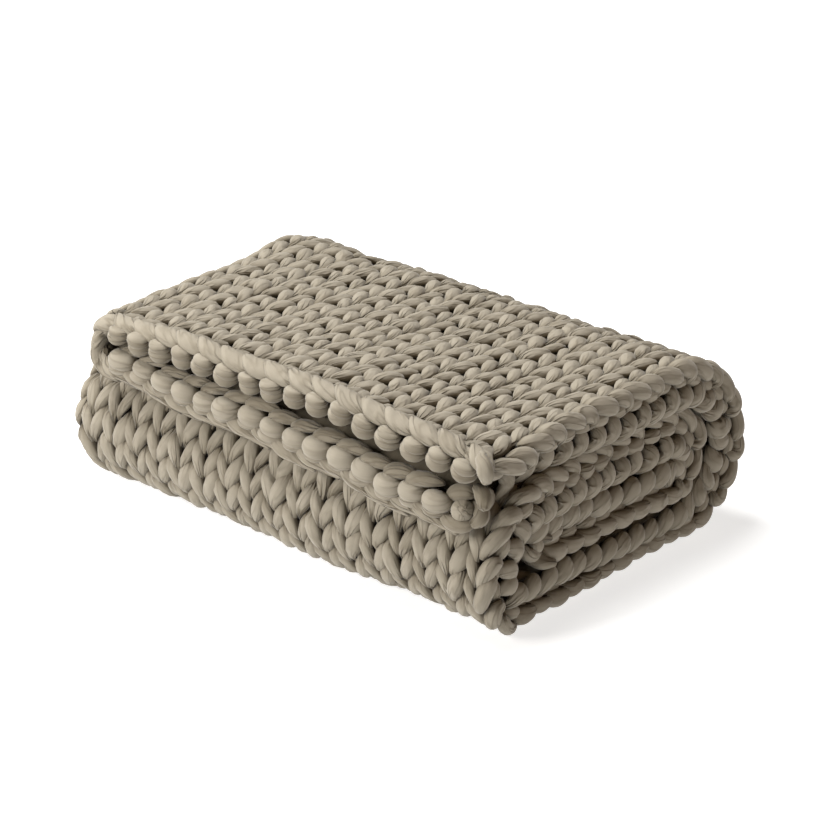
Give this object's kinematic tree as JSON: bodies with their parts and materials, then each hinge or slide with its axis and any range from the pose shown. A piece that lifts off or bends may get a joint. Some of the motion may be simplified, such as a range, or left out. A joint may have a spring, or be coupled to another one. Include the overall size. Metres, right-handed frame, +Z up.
{
  "type": "folded chunky knit weighted blanket",
  "caption": "Chunky hand-knit weighted blanket of plump stuffed yarn, folded in half and rolled flat into a rectangular bundle.",
  "frame": {"origin": "centre of the bundle's bounding box at its underside, on the surface it lies on", "axes": "+X from the width fold to the selvages along the bundle's length, -Y to the free cast-on edges at the front, +Z up"},
  "size_m": [0.5882, 0.4098, 0.2086],
  "materials": {
    "yarn": "matte cotton jersey tube yarn, stuffed, warm taupe"
  },
  "bodies": {
    "root": {"blanket": "yarn"}
  },
  "joints": []
}
